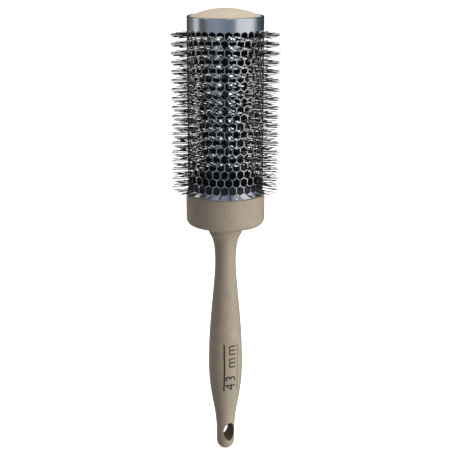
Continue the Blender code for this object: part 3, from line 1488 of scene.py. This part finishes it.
@dataclass
class Studio:
    """Plain white floor, a soft studio round it, and the camera."""

    azimuth: float = -28.7
    distance: float = 600.0 * MM
    height: float = 311.18 * MM
    pitch: float = 15.749
    side_step: float = 0.32 * MM
    lens: float = 85.13
    clip_range: Point = (0.01, 200.0)
    floor_size: float = 60.0
    floor_drop: float = 0.5 * MM

    # Studio walls as a polished surface mirrors them: degrees to the right of the camera, colour.
    mirrored: tuple[tuple[float, tuple[float, float, float]], ...] = (
        (-180, (0.04, 0.04, 0.045)),
        (-150, (0.05, 0.05, 0.05)),
        (-135, (0.13, 0.13, 0.13)),
        (-112, (0.20, 0.20, 0.20)),
        (-105, (0.64, 0.64, 0.65)),
        (-88, (0.64, 0.64, 0.65)),
        (-83, (0.10, 0.11, 0.125)),
        (-64, (0.10, 0.11, 0.125)),
        (-57, (0.22, 0.23, 0.26)),
        (-42, (0.27, 0.29, 0.33)),
        (-20, (0.25, 0.295, 0.365)),
        (5, (0.185, 0.225, 0.28)),
        (27, (0.195, 0.22, 0.25)),
        (35, (0.74, 0.73, 0.73)),
        (82, (0.82, 0.81, 0.82)),
        (96, (0.45, 0.50, 0.56)),
        (108, (0.09, 0.125, 0.14)),
        (140, (0.05, 0.065, 0.07)),
        (160, (0.03, 0.04, 0.04)),
        (180, (0.04, 0.04, 0.045)),
    )
    # The same studio as it lights a matt surface.
    soft_light: tuple[tuple[float, tuple[float, float, float]], ...] = (
        (-180, (0.08, 0.08, 0.08)),
        (-154, (0.08, 0.08, 0.08)),
        (-150, (1.40, 1.40, 1.40)),
        (-116, (1.40, 1.40, 1.40)),
        (-112, (0.15, 0.15, 0.16)),
        (0, (0.16, 0.16, 0.17)),
        (20, (0.62, 0.62, 0.62)),
        (33, (1.85, 1.85, 1.85)),
        (86, (1.85, 1.85, 1.85)),
        (92, (0.15, 0.15, 0.15)),
        (180, (0.08, 0.08, 0.08)),
    )
    light_target: Place = (0.0, 0.0, 0.2)
    light_reach: float = 0.9
    ceiling_rise: float = 88.0
    ceiling_size: float = 0.5
    ceiling_power: float = 6.6
    # Where the small lights hang: degrees to the right of the camera, degrees above the level.
    glints: tuple[tuple[str, float, float], ...] = (("front_glint", 12, 38), ("left_glint", -62, 30))
    glint_size: float = 0.2
    glint_power: float = 0.3
    paper_glow: float = 0.75
    paper_tooth: float = 2.5 * MM
    paper_roughness: float = 0.9
    paper_roughness_change: float = 0.05

    def towards(self, turn: float) -> Vector:
        """The level direction that lies turn degrees to the right of the camera, from the brush."""
        angle = math.radians(self.azimuth + turn)
        return Vector((math.sin(angle), -math.cos(angle), 0.0))

    def floor(self) -> bpy.types.Object:
        """The floor: a wide sheet of white paper, lit evenly enough to look white all over.

        Returns:
            The floor.
        """
        paper = Surface("paper_white_seamless")
        tooth = paper.noise(paper.where, 1 / self.paper_tooth)
        material = paper.finished(
            Base_Color=linear("#f4f4f4"),
            Roughness=paper.around(tooth, self.paper_roughness, self.paper_roughness_change),
            Emission_Color=linear("#ffffff"),
            Emission_Strength=self.paper_glow,
        )
        bpy.ops.mesh.primitive_plane_add(size=self.floor_size, location=(0, 0, -self.floor_drop))
        floor = bpy.context.object
        floor.name = "floor"
        floor.data.materials.append(material)
        floor.visible_glossy = False
        floor.visible_diffuse = False
        return floor

    def surroundings(self) -> None:
        """The studio's walls and ceiling, as a world that differs only round the compass."""
        world = bpy.data.worlds.new("studio")
        bpy.context.scene.world = world
        world.use_nodes = True
        tree = world.node_tree
        tree.nodes.clear()
        way = add_node(tree, "ShaderNodeTexCoord").outputs["Generated"]
        right, front = (
            add_node(tree, "ShaderNodeVectorMath", {0: way, 1: side}, operation="DOT_PRODUCT")
            for side in (self.towards(90), self.towards(0))
        )
        parts = {0: right.outputs["Value"], 1: front.outputs["Value"]}
        turn = add_node(tree, "ShaderNodeMath", parts, operation="ARCTAN2")
        share = add_node(
            tree,
            "ShaderNodeMapRange",
            {"Value": turn.outputs[0], "From Min": -math.pi, "From Max": math.pi},
        )
        shades = []
        for stops in (self.mirrored, self.soft_light):
            ramp = add_node(tree, "ShaderNodeValToRGB", {"Fac": share.outputs[0]})
            set_stops(ramp.color_ramp, [((turn + 180) / 360, (*colour, 1.0)) for turn, colour in stops])
            shades.append(ramp.outputs["Color"])
        glossy, soft, white = (
            add_node(tree, "ShaderNodeBackground", {"Color": shade}).outputs[0]
            for shade in (*shades, linear("#ffffff"))
        )
        ray = add_node(tree, "ShaderNodeLightPath").outputs
        lit = add_node(tree, "ShaderNodeMixShader", {0: ray["Is Glossy Ray"], 1: soft, 2: glossy})
        seen = add_node(tree, "ShaderNodeMixShader", {0: ray["Is Camera Ray"], 1: lit.outputs[0], 2: white})
        add_node(tree, "ShaderNodeOutputWorld", {"Surface": seen.outputs[0]})

    def softbox(self, name: str, turn: float, rise: float, size: float, power: float) -> bpy.types.Object:
        """Hangs one square soft light that faces the barrel.

        Args:
            name: the light's name.
            turn: degrees to the right of the camera.
            rise: degrees above the horizon.
            size: the light's side.
            power: its power in watts.

        Returns:
            The light.
        """
        climb = math.radians(rise)
        back = self.towards(turn) * math.cos(climb) + Vector((0, 0, math.sin(climb)))
        data = bpy.data.lights.new(name, "AREA")
        data.shape = "SQUARE"
        data.size = size
        data.energy = power
        light = bpy.data.objects.new(name, data)
        light.location = Vector(self.light_target) + back * self.light_reach
        light.rotation_euler = back.to_track_quat("Z", "Y").to_euler()
        bpy.context.scene.collection.objects.link(light)
        return light

    def lights(self) -> None:
        """A broad light overhead for the matt pieces, and two small ones for the bristles' glints."""
        ceiling = self.softbox("ceiling_light", 0, self.ceiling_rise, self.ceiling_size, self.ceiling_power)
        ceiling.visible_glossy = False
        for name, turn, rise in self.glints:
            glint = self.softbox(name, turn, rise, self.glint_size, self.glint_power)
            glint.visible_diffuse = False

    def camera(self) -> bpy.types.Object:
        """The camera, looking slightly down on the brush.

        Returns:
            The camera.
        """
        data = bpy.data.cameras.new("camera")
        data.lens = self.lens
        data.clip_start, data.clip_end = self.clip_range
        camera = bpy.data.objects.new("camera", data)
        place = self.towards(0) * self.distance + self.towards(90) * self.side_step
        camera.location = place + Vector((0, 0, self.height))
        camera.rotation_euler = (math.radians(90 - self.pitch), 0, math.radians(self.azimuth))
        bpy.context.scene.collection.objects.link(camera)
        bpy.context.scene.camera = camera
        return camera

    def build(self) -> None:
        """Sets up the whole studio."""
        self.floor()
        self.surroundings()
        self.lights()
        self.camera()
        bpy.context.scene.view_settings.view_transform = "Standard"


# ---------------------------------------------------------------- the brush


def main() -> None:
    """Builds the brush round its CAD frame and reports each piece."""
    logging.basicConfig(level=logging.INFO, format="%(message)s")
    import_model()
    grip_composite = FibreComposite(CompositeBatch.GRIP).material()
    handle = Handle()
    # The hole's wall takes a darker copy of the composite, painted shade inside the hanging hole.
    handle.build(grip_composite, FibreComposite(CompositeBatch.BORED, roughness=0.7).material())
    SizeMark(handle).build(PadPrintInk().material())
    barrel = Barrel()
    barrel.build(AnodisedAluminium().material())
    EndCap().build(FibreComposite(CompositeBatch.CAP, fleck_length=0.5 * MM).material())
    BarrelPlugs().build(MouldedBlackPlastic().material())
    CoreWires().build(DrawnSteelWire().material())
    BristleRows(barrel.vents, barrel.wall).build(CrimpedNylon().material())
    Studio().build()


if __name__ == "__main__":
    main()
